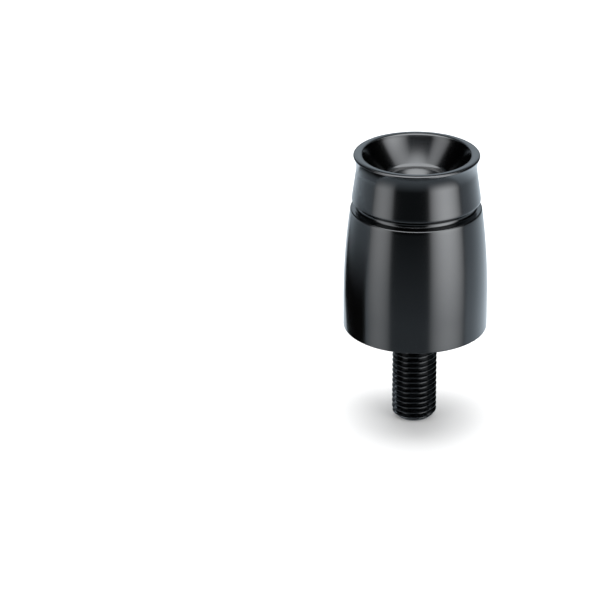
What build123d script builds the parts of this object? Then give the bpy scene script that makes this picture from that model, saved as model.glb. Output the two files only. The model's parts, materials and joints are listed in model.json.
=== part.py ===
from build123d import *
import os
from math import asin, atan2, cos, degrees, hypot, radians, sin, tan

# Bar end weight of a motorbike, turned from one aluminium bar.
# The threaded stud screws into the insert in the handlebar's end, the seat face stops against the bar,
# and a dish in the nose leads a hexagon key to its socket.
# Z is the turning axis. The weight stands on the end of its stud, at Z 0, with the dish upwards.
# Lengths are in millimetres and angles in degrees.

# Stud, an M10 x 1.25 thread, modelled plain at the thread's outside diameter
thread_d = 10.0
thread_pitch = 1.25
stud_length = 22.5
stud_lead = thread_pitch          # the chamfer at the stud's end is one turn of thread deep

# Barrel body, upright at the seat face and then curving in to the shoulder
base_d = 32.0
base_edge = 0.25
body_length = 28.5
barrel_taper = 1.68               # how far the shoulder lies inside the base, on the radius
shoulder_edge = 0.12

# Groove between body and nose, with a full round floor and sides that open slightly
groove_width = 1.6
groove_depth = 1.8
groove_lean = 10.0                # how far each side leans away from square to the axis

# Nose, which leans in to a neck and flares out again to the lip
nose_step = 0.24                  # how far the nose's lower edge lies inside the shoulder
nose_edge = 0.4
nose_length = 10.7
lip_inset = 0.28                  # how far the lip lies inside the nose's lower edge
neck_inset = 0.66                 # how far the neck lies inside the lip
neck_drop = 3.1                   # from the top of the lip down to the neck
flare_radius = 6.2

# Lip, the ring on which the weight stands when it is turned over
lip_width = 1.85
lip_edge = 0.25

# Dish, a cone with a flat ring at its foot and the print of a wide drill inside the ring
dish_depth = 6.0
dish_foot_radius = 1.2
foot_ring_width = 1.4
recess_rim = 1.6                  # cone left round the corners of the key socket
drill_angle = 140.0

# Key socket, a hexagon broached round a drilled hole
key_across_flats = 8.0
key_depth = 8.0
pilot_clearance = 0.1             # how far the drilled hole lies inside the flats
pilot_extra = 2.0

# Heights that follow, from the stud's end upwards. The groove's upper side meets the nose, which is
# narrower than the shoulder, a little lower than nose_z.
seat_z = stud_length
shoulder_z = seat_z + body_length
nose_z = shoulder_z + groove_width
nose_corner_z = nose_z - nose_step * tan(radians(groove_lean))
top_z = nose_z + nose_length
neck_z = top_z - neck_drop
foot_z = top_z - dish_depth

# Radii that follow, from the base upwards and then into the dish
stud_r = thread_d / 2
base_r = base_d / 2
shoulder_r = base_r - barrel_taper
nose_r = shoulder_r - nose_step
lip_r = nose_r - lip_inset
neck_r = lip_r - neck_inset
dish_r = lip_r - lip_width
key_corner_r = key_across_flats / 2 / cos(radians(30))
recess_r = key_corner_r + recess_rim
foot_r = recess_r + foot_ring_width
pilot_r = key_across_flats / 2 - pilot_clearance

# Both drills have the same point, which falls by this much for each millimetre towards the axis
drill_slope = 1 / tan(radians(drill_angle / 2))
key_z = foot_z - (recess_r - key_corner_r) * drill_slope
key_floor_z = key_z - key_depth


def groove_floor():
    """The arc of the groove's floor, of the one radius that runs into both leaning sides."""
    lean = radians(groove_lean)
    middle_z = shoulder_z + groove_width / 2
    floor_r = shoulder_r - groove_depth
    radius = (groove_width / 2 * cos(lean) - groove_depth * sin(lean)) / (1 - sin(lean))
    end_r = floor_r + radius * (1 - sin(lean))
    rise = radius * cos(lean)
    return ThreePointArc((end_r, middle_z - rise), (floor_r, middle_z), (end_r, middle_z + rise))


def nose_side():
    """The nose's side, a straight lean that runs into the arc of the flare without a corner."""
    start = Vector(nose_r, nose_corner_z)
    across = Vector(neck_r + flare_radius, neck_z) - start
    reach = hypot(across.X, across.Y)
    lean = degrees(atan2(across.Y, across.X) + asin(flare_radius / reach))
    return PolarLine(start, (reach**2 - flare_radius**2) ** 0.5, lean)


def turned_section():
    """Half of the lengthwise section, from the stud's end round the outside and back into the dish."""
    with BuildSketch(Plane.XZ) as section:
        with BuildLine():
            Polyline(
                (0, 0),
                (stud_r - stud_lead, 0),
                (stud_r, stud_lead),
                (stud_r, seat_z),
                (base_r, seat_z),
            )
            TangentArc((base_r, seat_z), (shoulder_r, shoulder_z), tangent=(0, 1))
            floor = groove_floor()
            Line((shoulder_r, shoulder_z), floor @ 0)
            Line(floor @ 1, (nose_r, nose_corner_z))
            side = nose_side()
            TangentArc(side @ 1, (lip_r, top_z), tangent=side % 1)
            Polyline(
                (lip_r, top_z),
                (dish_r, top_z),
                (foot_r, foot_z),
                (recess_r, foot_z),
                (0, foot_z - recess_r * drill_slope),
                (0, 0),
            )
        make_face()
        for place, size in (
            ((base_r, seat_z), base_edge),
            ((shoulder_r, shoulder_z), shoulder_edge),
            ((nose_r, nose_corner_z), nose_edge),
            ((lip_r, top_z), lip_edge),
        ):
            chamfer(section.vertices().sort_by_distance(place)[0], size)
        fillet(section.vertices().sort_by_distance((foot_r, foot_z))[0], dish_foot_radius)
    return section.sketch


def pilot_section():
    """Half of the drilled hole's section, from the mouth of the key socket down to the drill's point."""
    hole_floor_z = key_floor_z - pilot_extra
    with BuildSketch(Plane.XZ) as section:
        with BuildLine():
            Polyline(
                (0, foot_z),
                (pilot_r, foot_z),
                (pilot_r, hole_floor_z),
                (0, hole_floor_z - pilot_r * drill_slope),
                (0, foot_z),
            )
        make_face()
    return section.sketch


def bar_end_weight():
    """The turned blank, drilled, with the hexagon broached round the hole and two of its flats facing Y."""
    with BuildPart() as weight:
        add(turned_section())
        revolve(axis=Axis.Z)
        add(pilot_section())
        revolve(axis=Axis.Z, mode=Mode.SUBTRACT)
        with BuildSketch(Plane.XY.offset(key_floor_z)):
            RegularPolygon(radius=key_across_flats / 2, side_count=6, major_radius=False)
        extrude(amount=foot_z - key_floor_z, mode=Mode.SUBTRACT)
    return weight.part


os.makedirs("parts", exist_ok=True)
weight = bar_end_weight()
export_step(weight, "parts/bar_end_weight.step")
print(f"length {top_z:.2f}, base {base_d:.2f}, shoulder {2 * shoulder_r:.2f}, lip {2 * lip_r:.2f}")
print(f"key socket from {key_floor_z:.2f} to {key_z:.2f}, volume {weight.volume / 1000:.2f} cm3")
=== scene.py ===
# %% [markdown]
# Bar end weight of a motorbike. A weight like this is screwed into each end of the handlebar, where its
# mass damps the buzz that the engine sends into the bar. It is turned from one bar of aluminium and
# anodised black. The lesson follows the lathe. Half of the lengthwise section is drawn and spun round the
# axis, a hexagon key socket is broached into it, and a thread is cut on the stud. The black finish and a
# small studio follow.

# %% Load the frame
import json
from math import asin, atan2, cos, hypot, pi, radians, sin, tan

import bmesh
import bpy
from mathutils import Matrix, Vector


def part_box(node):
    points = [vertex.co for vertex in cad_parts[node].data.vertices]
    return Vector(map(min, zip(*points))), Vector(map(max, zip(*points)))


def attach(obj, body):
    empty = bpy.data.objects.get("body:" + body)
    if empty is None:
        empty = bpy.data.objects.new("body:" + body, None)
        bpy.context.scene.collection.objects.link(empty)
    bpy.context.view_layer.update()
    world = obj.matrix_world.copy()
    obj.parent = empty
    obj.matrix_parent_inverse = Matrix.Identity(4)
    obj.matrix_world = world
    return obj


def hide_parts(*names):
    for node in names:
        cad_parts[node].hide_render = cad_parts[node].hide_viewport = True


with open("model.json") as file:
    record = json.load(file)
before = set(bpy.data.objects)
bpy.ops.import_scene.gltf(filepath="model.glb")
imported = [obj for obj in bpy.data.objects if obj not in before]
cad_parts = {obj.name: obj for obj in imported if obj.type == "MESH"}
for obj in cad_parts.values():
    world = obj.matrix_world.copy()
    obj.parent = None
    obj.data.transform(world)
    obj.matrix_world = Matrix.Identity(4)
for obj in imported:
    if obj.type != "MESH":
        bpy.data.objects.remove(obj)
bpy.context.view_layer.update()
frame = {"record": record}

bpy.ops.object.select_all(action="DESELECT")

# %% [markdown]
# The frame says how large the weight is: its box, the radius of its stud and the height of its seat, the
# face that stops against the bar. The finer sizes are given here, in millimetres, because an edge of a
# tenth of a millimetre is easier to handle so, and the mesh is scaled to metres once, at its end. Angles
# are in radians. Blender rounds each place a little, so the weight is drawn a hair lower than its box, and
# never pokes out.

# %% Sizes
MM = 0.001
ROUND_OFF = 0.002
NODE = "bar_end_weight"
mounts = {mount["name"]: mount for mount in frame["record"]["mounts"]}
low, high = (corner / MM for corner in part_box(NODE))

top_z = high.z - ROUND_OFF
base_r = min(high.x, high.y, -low.x, -low.y)
stud_r = mounts["stud"]["dims"]["r_mm"]
seat_z = mounts["seat_face"]["pos_m"][2] / MM

body_length = 28.22
barrel_upright = 6.5
barrel_taper = 1.5
shoulder_z = seat_z + body_length
shoulder_r = base_r - barrel_taper
print(f"seat at {seat_z:.2f}, shoulder at {shoulder_z:.2f}, top at {top_z:.2f}, base radius {base_r:.3f}")

# %% [markdown]
# The section is a line of points in the XZ plane. It could be typed in as a list, but points set by eye
# show as waves in a polished surface. Here it is drawn as with a ruler and compasses: one point is
# extruded along each straight run, and spun round a centre along each curve, so that every curve is a true
# arc.


# %% Select by place, and draw with a ruler and compasses
def select(kind, test):
    """Selects the points, edges or faces in edit mode that pass test(element), and counts them."""
    mesh = bmesh.from_edit_mesh(bpy.context.object.data)
    bpy.ops.mesh.select_mode(type=kind)
    bpy.ops.mesh.select_all(action="DESELECT")
    elements = {"VERT": mesh.verts, "EDGE": mesh.edges, "FACE": mesh.faces}[kind]
    found = [element for element in elements if test(element)]
    for element in found:
        element.select_set(True)
    mesh.select_flush_mode()
    bmesh.update_edit_mesh(bpy.context.object.data)
    return len(found)


class Section:
    """A line of points in the XZ plane, each placed by its radius and height."""

    NEAR = 1e-3

    def __init__(self, name):
        bpy.ops.mesh.primitive_circle_add(vertices=3)
        self.piece = bpy.context.object
        self.piece.name = name
        bpy.ops.object.mode_set(mode="EDIT")
        bpy.ops.mesh.delete(type="VERT")

    def start(self, r, z):
        """Sets down a new first point: a small ring of three points, merged into one."""
        bpy.ops.mesh.select_mode(type="VERT")
        bpy.ops.mesh.select_all(action="DESELECT")
        bpy.ops.mesh.primitive_circle_add(vertices=3)
        bpy.ops.mesh.merge(type="CENTER")
        bpy.ops.transform.translate(value=(r, 0, z))
        self.end = Vector((r, z))

    def line(self, r, z, cuts=1):
        """A straight run, as so many equal edges."""
        run = Vector((r, z)) - self.end
        step = (run.x / cuts, 0, run.y / cuts)
        for _ in range(cuts):
            bpy.ops.mesh.extrude_vertices_move(TRANSFORM_OT_translate={"value": step})
        self.end, self.way = Vector((r, z)), run.normalized()

    def arc(self, r, z, steps, way=None):
        """An arc that sets out in the direction of way, or goes on from the last run without a corner."""
        way = Vector(way).normalized() if way else self.way
        left = Vector((-way.y, way.x))
        run = Vector((r, z)) - self.end
        centre = self.end + left * run.length_squared / (2 * run.dot(left))
        turn = 2 * atan2(run.dot(left), run.dot(way))
        bpy.ops.mesh.spin(steps=steps, angle=turn, center=(centre.x, 0, centre.y), axis=(0, 1, 0))
        self.end, self.way = Vector((r, z)), way * cos(turn) + left * sin(turn)

    def round_corner(self, r, z, reach, segments):
        """Rounds the corner at a point. The rounding takes that reach off both of its sides."""
        select("VERT", lambda point: hypot(point.co.x - r, point.co.z - z) < self.NEAR)
        bpy.ops.mesh.bevel(offset=reach, segments=segments, affect="VERTICES")

    def close(self):
        """Leaves edit mode and gives the piece back."""
        bpy.ops.object.mode_set(mode="OBJECT")
        print(self.piece.name, "section:", len(self.piece.data.vertices), "points")
        return self.piece


# %% [markdown]
# The stud comes first. It is drawn plain, at the thread's outside diameter, with a chamfer as deep as one
# turn of thread, because a die would start on such a blank. The barrel then rises from the seat, upright
# for its first quarter, and curves in to the shoulder. A hard corner never looks real, so each is noted
# for rounding once the whole line is drawn: its radius and height, how far the rounding reaches, and its
# segments.

# %% Draw the stud and the barrel
thread_pitch = 1.25
stud_lead = thread_pitch
corners = []

section = Section("bar_end_weight_turned")
section.start(0, 0)
section.line(stud_r - stud_lead, 0, cuts=2)
section.line(stud_r, stud_lead)
section.line(stud_r, seat_z)
section.line(base_r, seat_z, cuts=4)
section.line(base_r, seat_z + barrel_upright, cuts=4)
section.arc(shoulder_r, shoulder_z, steps=24)
corners += [(base_r, seat_z, 0.25, 4), (shoulder_r, shoulder_z, 0.26, 5)]
print(f"stud {2 * stud_r:.1f} across, barrel from {2 * base_r:.2f} to {2 * shoulder_r:.2f} across")

# %% [markdown]
# A groove parts the body from the nose. A parting tool ground with a round tip leaves a full round floor,
# which runs into sides that open slightly. The nose above it leans in to a neck and flares out again to
# the lip. The flare is part of a circle about a point outside the neck, so the lean is the tangent to that
# circle. Above the flare a narrow land, which leans in a little, leads up to the lip.

# %% Draw the groove and the nose
groove_width, groove_depth, groove_lean = 1.88, 1.55, radians(10)
nose_step = 0.24  # how far the nose's lower edge lies inside the shoulder
lip_inset = 0.38  # how far the lip lies inside the nose's lower edge
neck_inset = 0.66  # how far the neck lies inside the lip
neck_drop = 3.1  # from the top down to the neck
flare_radius = 6.2
lip_crown = 0.2
land_height, land_lean = 0.22, 0.1

nose_r = shoulder_r - nose_step
nose_z = shoulder_z + groove_width - nose_step * tan(groove_lean)
lip_r = nose_r - lip_inset
lip_z = top_z - lip_crown
neck_r = lip_r - neck_inset
neck_z = top_z - neck_drop

tip_radius = groove_width / 2 * cos(groove_lean) - groove_depth * sin(groove_lean)
tip_radius /= 1 - sin(groove_lean)
tip_r = shoulder_r - groove_depth + tip_radius * (1 - sin(groove_lean))
tip_rise = tip_radius * cos(groove_lean)
middle_z = shoulder_z + groove_width / 2
section.line(tip_r, middle_z - tip_rise)
section.arc(tip_r, middle_z + tip_rise, steps=12)
section.line(nose_r, nose_z)

to_centre = Vector((neck_r + flare_radius - nose_r, neck_z - nose_z))
side_lean = atan2(to_centre.y, to_centre.x) + asin(flare_radius / to_centre.length)
side_length = (to_centre.length_squared - flare_radius**2) ** 0.5
section.line(nose_r + side_length * cos(side_lean), nose_z + side_length * sin(side_lean), cuts=8)
section.arc(lip_r, lip_z - land_height, steps=12)
section.line(lip_r - land_lean, lip_z)
corners += [
    (nose_r, nose_z, 0.45, 6),
    (lip_r, lip_z - land_height, 0.07, 3),
    (lip_r - land_lean, lip_z, 0.12, 4),
]
print(f"groove's tip radius {tip_radius:.3f}, nose from {nose_z:.2f} to {top_z:.2f}")

# %% [markdown]
# The lip has a slight crown, and inside it lies the dish that leads the key to its socket. The dish is a
# cone, slightly hollow, with a rounded foot and a flat ring, and inside the ring a drill has left a wide
# cone. That cone gets a ring of points just outside the hexagon's corners, where the broach will stop. A
# second line draws the drilled hole under the socket, which the broach follows. The two lines aren't
# joined yet.

# %% Draw the lip, the dish and the drilled hole
lip_width = 1.93
dish_depth, dish_foot_radius = 6.0, 1.2
wall_turn = radians(9)  # how much the dish's wall turns between the lip and the foot
foot_ring_width = 1.4
recess_rim = 1.6  # the cone that is left round the socket's corners
key_across_flats, key_depth = 8.0, 8.0
pilot_clearance = 0.1  # how far the drilled hole lies inside the flats
pilot_extra = 2.0  # how far it goes on below the socket's floor
drill_angle = radians(140)
drill_slope = 1 / tan(drill_angle / 2)
mouth_margin = 0.15

flat_r = key_across_flats / 2
corner_r = flat_r / cos(pi / 6)
mouth_r = corner_r + mouth_margin
recess_r = corner_r + recess_rim
foot_r = recess_r + foot_ring_width
dish_r = lip_r - lip_width
pilot_r = flat_r - pilot_clearance
foot_z = top_z - dish_depth
key_floor_z = foot_z - (recess_r - corner_r) * drill_slope - key_depth

crown_turn = 2 * atan2(lip_crown, (lip_width - land_lean) / 2)
section.arc(dish_r, lip_z, steps=8, way=(-cos(crown_turn), sin(crown_turn)))
wall_fall = atan2(foot_z - lip_z, foot_r - dish_r)
section.arc(foot_r, foot_z, steps=10, way=(cos(wall_fall + wall_turn / 2), sin(wall_fall + wall_turn / 2)))
section.line(recess_r, foot_z)
for r in (recess_r - recess_rim / 2, mouth_r, pilot_r):
    section.line(r, foot_z - (recess_r - r) * drill_slope)
section.start(pilot_r, key_floor_z)
section.line(pilot_r, key_floor_z - pilot_extra)
section.line(0, key_floor_z - pilot_extra - pilot_r * drill_slope)

dish_fall = atan2(dish_depth, dish_r - foot_r)
corners += [
    (dish_r, lip_z, 0.12, 3),
    (foot_r, foot_z, dish_foot_radius * tan(dish_fall / 2), 8),
    (recess_r, foot_z, 0.08, 2),
]
for r, z, reach, segments in corners:
    section.round_corner(r, z, reach, segments)
weight = section.close()

# %% [markdown]
# The lathe: the whole section is spun once round. The count of steps can be divided by twelve, so that
# points fall on the corners of the hexagon too. Spinning leaves the first and last line on each other, and
# many points on the axis, so doubles are merged. Only then can the faces be turned to point outwards.

# %% Turn it
STEPS = 192
TOUCH = 1e-4

bpy.ops.object.mode_set(mode="EDIT")
bpy.ops.mesh.select_all(action="SELECT")
bpy.ops.mesh.spin(steps=STEPS, angle=2 * pi, center=(0, 0, 0), axis=(0, 0, 1))
bpy.ops.mesh.select_all(action="SELECT")
bpy.ops.mesh.remove_doubles(threshold=TOUCH)
bpy.ops.mesh.normals_make_consistent(inside=False)
print("faces after turning:", len(bmesh.from_edit_mesh(weight.data).faces))

# %% [markdown]
# The key socket is broached: a hexagon is pressed into the drilled hole. A Boolean would do, but six
# bisects give cleaner edges, one along each flat, on the faces of that side alone. What lies inside all
# six is deleted, the opening's edge is extruded down and flattened to a floor, and a bridge joins it to
# the drilled hole. A narrow bevel takes the knife edge off the socket's mouth.

# %% Broach the key socket
mouth_edge = 0.08
flats = [Vector((cos(turn), sin(turn), 0)) for turn in (radians(30 + 60 * side) for side in range(6))]


def in_mouth(face):
    """True for a face of the drilled cone on which the hexagon is cut."""
    centre = face.calc_center_median()
    return key_floor_z < centre.z < foot_z and pilot_r < centre.xy.length < mouth_r


def nearest_flat(face):
    """The flat on whose side of the axis a face lies."""
    return max(flats, key=face.calc_center_median().dot)


for flat in flats:
    select("FACE", lambda face: in_mouth(face) and nearest_flat(face) == flat)
    bpy.ops.mesh.bisect(plane_co=flat * flat_r, plane_no=flat, threshold=TOUCH / 10)
select("FACE", lambda face: in_mouth(face) and face.calc_center_median().dot(nearest_flat(face)) < flat_r)
bpy.ops.mesh.delete(type="FACE")

rim = select("EDGE", lambda edge: edge.is_boundary and edge.verts[0].co.z > key_floor_z + TOUCH)
bpy.ops.mesh.extrude_edges_move(TRANSFORM_OT_translate={"value": (0, 0, -key_depth)})
bpy.ops.transform.resize(value=(1, 1, 0), center_override=(0, 0, key_floor_z))
select("EDGE", lambda edge: edge.is_boundary)
bpy.ops.mesh.bridge_edge_loops()


def on_rim(edge):
    """True for an edge above the socket's floor, between an upright flat and a face that slopes gently."""
    steep, gentle = sorted(abs(face.normal.z) for face in edge.link_faces)
    return min(point.co.z for point in edge.verts) > key_floor_z + TOUCH and steep < 0.1 and gentle > 0.5


select("EDGE", on_rim)
bpy.ops.mesh.bevel(offset=mouth_edge, segments=2, affect="EDGES")
bpy.ops.mesh.select_all(action="SELECT")
bpy.ops.mesh.normals_make_consistent(inside=False)
print("edges round the socket:", rim, "still open:", select("EDGE", lambda edge: not edge.is_manifold))
bpy.ops.object.mode_set(mode="OBJECT")

# %% [markdown]
# A die cuts the thread as one long groove, and the crests are what is left of the blank. The same is done
# here: the groove's section, with sides at 60 degrees and a rounded root, is drawn a little proud of the
# stud. A Screw modifier winds it up the stud, one pitch a turn and right-handed, and a Boolean takes it
# away from the blank. The groove starts below the stud's end, and is set so that at the front one crest
# stands at a chosen height.

# %% Wind the groove's cutter
THREAD_STEPS = 96
thread_turns = 17
crest_z = 16.29
turns_to_crest = 13 + 3 / 4 + 1 / 2  # whole turns, the way round to the front, and from groove to crest
proud = 0.06
flank = pi / 6
root_depth = 0.68 * thread_pitch  # a little deeper than the usual 0.613
root_share = 0.9  # how much of the root's half width is taken up by its rounding
crest_flat = thread_pitch / 8
half_open = (thread_pitch - crest_flat) / 2
first_z = crest_z - turns_to_crest * thread_pitch

groove = Section("thread_cutter")
groove.start(stud_r + proud, first_z + half_open + proud * tan(flank))
half_root = half_open - root_depth * tan(flank)
groove.line(stud_r - root_depth, first_z + half_root)
groove.line(stud_r - root_depth, first_z - half_root)
groove.line(stud_r + proud, first_z - half_open - proud * tan(flank))
for side in (-1, 1):
    groove.round_corner(stud_r - root_depth, first_z + side * half_root, root_share * half_root, 3)
select("VERT", lambda point: point.co.x > stud_r)
bpy.ops.mesh.edge_face_add()
cutter = groove.close()

screw = cutter.modifiers.new("wind", "SCREW")
screw.axis = "Z"
screw.angle = 2 * pi
screw.screw_offset = thread_pitch
screw.iterations = thread_turns
screw.steps = screw.render_steps = THREAD_STEPS
bpy.ops.object.modifier_apply(modifier=screw.name)

# %% [markdown]
# Near the seat a thread runs out: the tool is drawn back while the work still turns, and the groove gets
# shallower until the blank is plain. The cutter's last part turn is moved outwards in the same way. Then
# its two ends are closed, because a Boolean needs closed meshes.

# %% Run the thread out, and cut it
runout_turns = 0.7

for point in cutter.data.vertices:
    turn = atan2(point.co.y, point.co.x) / (2 * pi)
    wound = turn + round((point.co.z - first_z) / thread_pitch - turn)
    back = max(0.0, (wound - thread_turns) / runout_turns + 1)
    point.co.xy *= 1 + back * (root_depth + proud) / stud_r

bpy.ops.object.mode_set(mode="EDIT")
bpy.ops.mesh.select_all(action="SELECT")
bpy.ops.mesh.fill_holes(sides=0)
bpy.ops.mesh.select_all(action="SELECT")
bpy.ops.mesh.normals_make_consistent(inside=False)
bpy.ops.object.mode_set(mode="OBJECT")

bpy.context.view_layer.objects.active = weight
cut = weight.modifiers.new("cut", "BOOLEAN")
cut.operation = "DIFFERENCE"
cut.solver = "EXACT"
cut.object = cutter
bpy.ops.object.modifier_apply(modifier=cut.name)
bpy.data.objects.remove(cutter)
print("faces after threading:", len(weight.data.polygons))

# %% [markdown]
# The mesh goes from millimetres to metres, about the origin, so the object itself stays unscaled. Facets
# that meet at less than 30 degrees are shaded as one surface. Weighted normals then keep the wide faces
# flat right up to their rounded edges, where plain smooth shading would let the edge's bend run out over
# the face.

# %% Finish the mesh
bpy.ops.object.mode_set(mode="EDIT")
bpy.ops.mesh.select_all(action="SELECT")
bpy.ops.transform.resize(value=(MM, MM, MM), center_override=(0, 0, 0))
bpy.ops.object.mode_set(mode="OBJECT")

bpy.ops.object.select_all(action="DESELECT")
weight.select_set(True)
bpy.ops.object.shade_smooth_by_angle(angle=radians(30))
flatten = weight.modifiers.new("flatten", "WEIGHTED_NORMAL")
flatten.keep_sharp = True
bpy.ops.object.modifier_apply(modifier=flatten.name)

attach(weight, "root")
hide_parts(NODE)
triangles = sum(len(face.vertices) - 2 for face in weight.data.polygons)
print("triangles:", triangles, "size in mm:", [round(side / MM, 3) for side in weight.dimensions])

# %% [markdown]
# Shader maths reads best as it is written on paper, so a small class wraps a socket: an expression on it
# adds the Math nodes. All other nodes come from one method, which sets a node's own settings before its
# sockets.


# %% Write shaders as expressions
class Value:
    """A socket in a shader. Sums on it add Math nodes."""

    def __init__(self, shader, socket):
        self.shader, self.socket = shader, socket

    def __add__(self, other):
        return self.shader.math("ADD", self, other)

    def __sub__(self, other):
        return self.shader.math("SUBTRACT", self, other)

    def __rsub__(self, other):
        return self.shader.math("SUBTRACT", other, self)

    def __mul__(self, other):
        return self.shader.math("MULTIPLY", self, other)

    def __pow__(self, other):
        return self.shader.math("POWER", self, other)

    __radd__, __rmul__ = __add__, __mul__


class Shader:
    """The nodes of one material or of the world."""

    def __init__(self, owner):
        owner.use_nodes = True
        self.tree = owner.node_tree
        self.tree.nodes.clear()

    def node(self, kind, settings=None, sockets=None, out=0):
        """Adds a node, sets it up, fills or links its sockets, and gives one of its outputs."""
        node = self.tree.nodes.new(kind)
        for name, value in (settings or {}).items():
            setattr(node, name, value)
        for name, value in (sockets or {}).items():
            if isinstance(value, Value):
                self.tree.links.new(value.socket, node.inputs[name])
            else:
                node.inputs[name].default_value = value
        return Value(self, node.outputs[out]) if node.outputs else None

    def math(self, operation, *values):
        """A Math node."""
        return self.node("ShaderNodeMath", {"operation": operation}, dict(enumerate(values)))

    def split(self, vector):
        """The three parts of a vector."""
        return [self.node("ShaderNodeSeparateXYZ", None, {"Vector": vector}, out=axis) for axis in "XYZ"]

    def smooth(self, value, start, end, low=0.0, high=1.0):
        """Goes smoothly from low to high while value goes from start to end, and stays there."""
        sockets = {"Value": value, "From Min": start, "From Max": end, "To Min": low, "To Max": high}
        return self.node("ShaderNodeMapRange", {"interpolation_type": "SMOOTHSTEP"}, sockets)


# %% [markdown]
# Black anodising is a clear, hard layer grown from the aluminium itself, with black dye in its pores.
# Nearly all light that enters it is lost, and what is seen is the few percent that its surface mirrors. So
# the colour is set as a metal's dark mirror colour, and the gloss does the rest. Faint rings from the
# turning tool run round the axis, and the dye bath leaves the gloss very slightly uneven.

# %% Black anodised finish
RINGS_SCALE, BATH_SCALE = 9000.0, 160.0

finish = bpy.data.materials.new("black_anodised")
shader = Shader(finish)
place = shader.node("ShaderNodeTexCoord", out="Object")
axes = shader.split(place)
distance = (axes[0] * axes[0] + axes[1] * axes[1]) ** 0.5
rings_at = shader.node("ShaderNodeCombineXYZ", None, {"X": distance, "Y": 0.0, "Z": axes[2]})
rings = shader.node("ShaderNodeTexNoise", None, {"Vector": rings_at, "Scale": RINGS_SCALE, "Detail": 1.0})
bath = shader.node("ShaderNodeTexNoise", None, {"Vector": place, "Scale": BATH_SCALE, "Detail": 3.0})
colour = shader.node(
    "ShaderNodeMix",
    {"data_type": "RGBA"},
    {"Factor": bath, "A": (0.068, 0.071, 0.074, 1), "B": (0.078, 0.080, 0.082, 1)},
    out=2,
)
bump = shader.node("ShaderNodeBump", None, {"Strength": 0.04, "Distance": 1e-5, "Height": rings})
surface = shader.node(
    "ShaderNodeBsdfPrincipled",
    None,
    {
        "Base Color": colour,
        "Metallic": 1.0,
        "Roughness": 0.14 + 0.03 * rings + 0.03 * bath,
        "Normal": bump,
    },
)
shader.node("ShaderNodeOutputMaterial", None, {"Surface": surface})
weight.data.materials.append(finish)
print("nodes in the finish:", len(finish.node_tree.nodes))

# %% [markdown]
# The weight stands on white paper, which catches a soft shadow. Its upright sides are dark mirrors,
# though, and to a camera that looks down they show what lies below the horizon. A paper that filled all of
# that would turn them flat and grey, so in a studio the paper is small and the lamps reach down beyond its
# edge. The sheet here is large, to be white up to the edges of the picture, and so the finish doesn't see
# it. The finish sees a disc of the same paper round the foot, which the crests of the thread mirror. A
# share of plain white is mixed in for the camera alone, because light that bounces about in a white studio
# keeps a shadow from going dark.

# %% Paper
PAPER_SIZE, DISC_RADIUS = 6.0, 0.045
WHITE_SHARE = 0.17


def stage(piece, name, material, **seen):
    """Names a piece of the stage, gives it its material, and says which kinds of ray see it."""
    piece.name = name
    piece.data.materials.append(material)
    for ray, sees in seen.items():
        setattr(piece, f"visible_{ray}", sees)


paper = bpy.data.materials.new("white_paper")
shader = Shader(paper)
matt = shader.node("ShaderNodeBsdfDiffuse", None, {"Color": (0.55, 0.55, 0.55, 1)})
white = shader.node("ShaderNodeEmission", None, {"Color": (1, 1, 1, 1), "Strength": 1.0})
lift = WHITE_SHARE * shader.node("ShaderNodeLightPath", out="Is Camera Ray")
sheet = shader.node("ShaderNodeMixShader", None, {0: lift, 1: matt, 2: white})
shader.node("ShaderNodeOutputMaterial", None, {"Surface": sheet})

bpy.ops.mesh.primitive_plane_add(size=PAPER_SIZE)
stage(bpy.context.object, "paper", paper, glossy=False)
bpy.ops.mesh.primitive_circle_add(vertices=64, radius=DISC_RADIUS, fill_type="NGON")
stage(bpy.context.object, "paper_round_the_foot", paper, camera=False, diffuse=False, shadow=False)
print("paper:", PAPER_SIZE, "m wide, disc round the foot:", round(2 * DISC_RADIUS / MM), "mm")

# %% [markdown]
# A wide lamp above and a little behind draws the shadow together under the weight and moves it towards the
# camera. The finish doesn't mirror this lamp, because it shows the softboxes that are set up further on.

# %% Lamp over the paper
LAMP_PLACE = Vector((-0.008, 0.115, 0.4))

bpy.ops.object.light_add(type="AREA", location=LAMP_PLACE)
lamp = bpy.context.object
lamp.name = "paper_lamp"
lamp.rotation_euler = (-LAMP_PLACE).to_track_quat("-Z", "Y").to_euler()
lamp.data.shape = "DISK"
lamp.data.size = 0.52
lamp.data.energy = 2.3
lamp.visible_glossy = False
lamp.visible_camera = False
print("lamp", round(LAMP_PLACE.length, 3), "m from the foot")

# %% [markdown]
# A card stands at the left, out of the camera's sight. It takes the light off the lower left side of the
# barrel, as cards do round shiny things, because a dark side tells the eye that the form is round. Its
# paper is black at the bottom and gets paler upwards and towards the back, so that the dark patch ends
# softly.

# %% Card
CARD_AWAY, CARD_HEIGHT = 0.044, 0.046
CARD_FRONT, CARD_BACK = -0.012, 0.06
BLACK_UP_TO, PALEST_FROM = 0.018, 0.045

side_paper = bpy.data.materials.new("black_to_pale_paper")
shader = Shader(side_paper)
x, y, z = shader.split(shader.node("ShaderNodeTexCoord", out="Object"))
pale = shader.smooth(z, BLACK_UP_TO, CARD_HEIGHT) * shader.smooth(y, 0.0, PALEST_FROM, 0.5, 1.2)
grey = shader.node(
    "ShaderNodeMix",
    {"data_type": "RGBA"},
    {"Factor": pale, "A": (0.01, 0.01, 0.01, 1), "B": (0.72, 0.82, 0.9, 1)},
    out=2,
)
matt = shader.node("ShaderNodeBsdfDiffuse", None, {"Color": grey})
shader.node("ShaderNodeOutputMaterial", None, {"Surface": matt})

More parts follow.
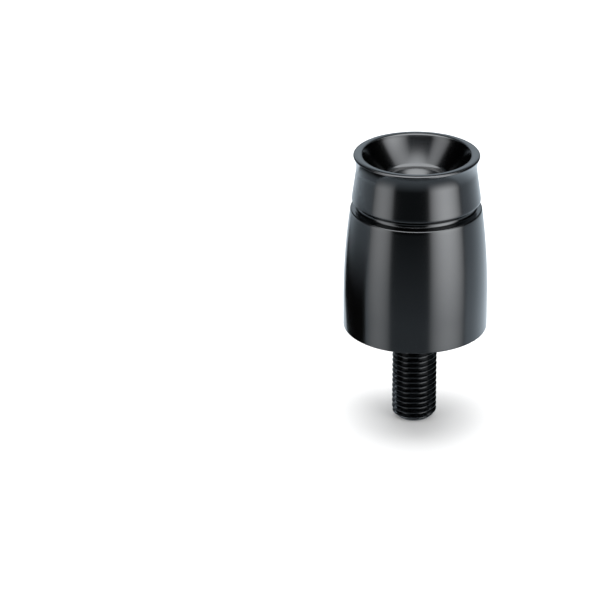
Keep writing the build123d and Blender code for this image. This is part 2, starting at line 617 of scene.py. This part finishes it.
bpy.ops.mesh.primitive_plane_add(size=1, rotation=(0, pi / 2, 0))
card = bpy.context.object
card.scale = (CARD_HEIGHT, CARD_BACK - CARD_FRONT, 1)
card.location = (-CARD_AWAY, (CARD_FRONT + CARD_BACK) / 2, CARD_HEIGHT / 2)
bpy.ops.object.transform_apply()
stage(card, "side_card", side_paper, camera=False, diffuse=False, shadow=False)
print("card:", [round(side / MM, 1) for side in card.dimensions], "mm")

# %% [markdown]
# Tall softboxes stand at the left and the right of the camera and a large one hangs overhead. The barrel
# shows the first two as upright stripes, with a dark gap between them that makes it read as black, and the
# dish shows all three. Each could be a glowing plane, but soft edges and hot middles are easier to write
# as brightness by direction, so the studio is drawn on the world. A direction has an azimuth, which is
# nought towards the camera and grows to the right, and a height z, from -1 straight down to 1 straight up.

# %% Softboxes
SOFT_EDGE, HOT_REACH = radians(4), radians(30)

world = bpy.data.worlds.new("studio")
bpy.context.scene.world = world
shader = Shader(world)
x, y, z = shader.split(shader.node("ShaderNodeTexCoord", out="Generated"))
azimuth = shader.math("ARCTAN2", x, 0 - y)


def softbox(level, start, end, hot, fall):
    """A softbox between two azimuths in degrees. At HOT_REACH from hot it is dimmer by the share fall."""
    start, end, hot = radians(start), radians(end), radians(hot)
    off = (azimuth - hot) * (1 / HOT_REACH)
    rim = shader.smooth(azimuth, start, start + SOFT_EDGE)
    rim = rim * shader.smooth(azimuth, end - SOFT_EDGE, end, 1.0, 0.0)
    return level * rim * (1 - fall * off * off)


left_box = softbox(level=2.4, start=-86, end=-41.5, hot=-64, fall=1.3)
left_box = left_box * shader.smooth(z, -0.85, 0.05) * shader.smooth(z, 0.3, 0.76, 1.0, 0.8)
right_box = softbox(level=4.3, start=18.5, end=84, hot=52, fall=0.75)
right_box = right_box * shader.smooth(z, -0.8, 0.0) * shader.smooth(z, 0.55, 0.76, 1.0, 0.52)
boxes = (left_box + right_box) * shader.smooth(z, 0.78, 0.82, 1.0, 0.0)
top_box = 4.0 * shader.smooth(z, 0.77, 0.86)
print("nodes in the softboxes:", len(world.node_tree.nodes))

# %% [markdown]
# Round the softboxes the room is dim and a little blue, because a black thing in a black room would have
# no outline. The table below is brightest straight down. The walls at the sides are what the barrel
# mirrors outside its stripes, and a window low at the back is what the lip and the dish's flat ring
# mirror, as they face up. The camera itself sees none of this, but plain white.

# %% Room
aside = shader.math("ABSOLUTE", azimuth)
table = 0.75 * shader.math("MAXIMUM", 0 - z, 0.0) ** 1.2
ceiling = shader.smooth(z, 0.55, 0.8, 0.0, 0.2)
walls = shader.smooth(aside, radians(80), radians(90), 0.0, 0.5)
walls = walls + shader.smooth(aside, radians(90), radians(130), 0.0, 0.3)
walls = walls * shader.smooth(aside, radians(135), radians(175), 1.0, 0.7)
walls = walls * shader.smooth(z, -0.45, -0.15, 1.4, 1.0) * shader.smooth(z, -0.05, 0.2, 1.0, 0.0)
window = shader.smooth(aside, radians(148), radians(166)) * shader.smooth(z, -0.05, 0.42)
window = window * shader.smooth(z, 0.5, 0.66, 1.2, 0.0)

page = shader.node("ShaderNodeLightPath", out="Is Camera Ray")
lamps = (boxes + top_box) * (1 - page) + page
room = (table + ceiling + walls + window) * (1 - page)
lamps = shader.node("ShaderNodeBackground", None, {"Color": (1, 1, 1, 1), "Strength": lamps})
room = shader.node("ShaderNodeBackground", None, {"Color": (0.88, 1.0, 1.1, 1), "Strength": room})
studio = shader.node("ShaderNodeAddShader", None, {0: lamps, 1: room})
shader.node("ShaderNodeOutputWorld", None, {"Surface": studio})
print("nodes in the whole studio:", len(world.node_tree.nodes))

# %% [markdown]
# The camera looks 24 degrees down through a long lens, which is what the ellipses of the lip and the base
# ask for: the lip's is a little flatter, because it is nearer to the height of the camera. The weight
# stands to the right of the middle of the picture, so the camera aims beside it.

# %% Camera
SENSOR = 36.0
FOCAL_SHARE = 2851.5 / 600
CAMERA_AWAY = 0.6354
PITCH, ROLL = radians(24.39), radians(-0.422)
AIM = Vector((-0.02566, 0, 0.02842))

lens = bpy.data.cameras.new("camera")
lens.sensor_width = SENSOR
lens.lens = SENSOR * FOCAL_SHARE
lens.clip_start, lens.clip_end = 0.01, 20
camera = bpy.data.objects.new("camera", lens)
bpy.context.scene.collection.objects.link(camera)
camera.location = AIM + Vector((0, -cos(PITCH), sin(PITCH))) * CAMERA_AWAY
camera.rotation_mode = "ZYX"
camera.rotation_euler = (pi / 2 - PITCH, 0, ROLL)
bpy.context.scene.camera = camera
bpy.context.scene.view_settings.view_transform = "Standard"
print("lens", round(lens.lens, 1), "mm, camera at", [round(part, 4) for part in camera.location])
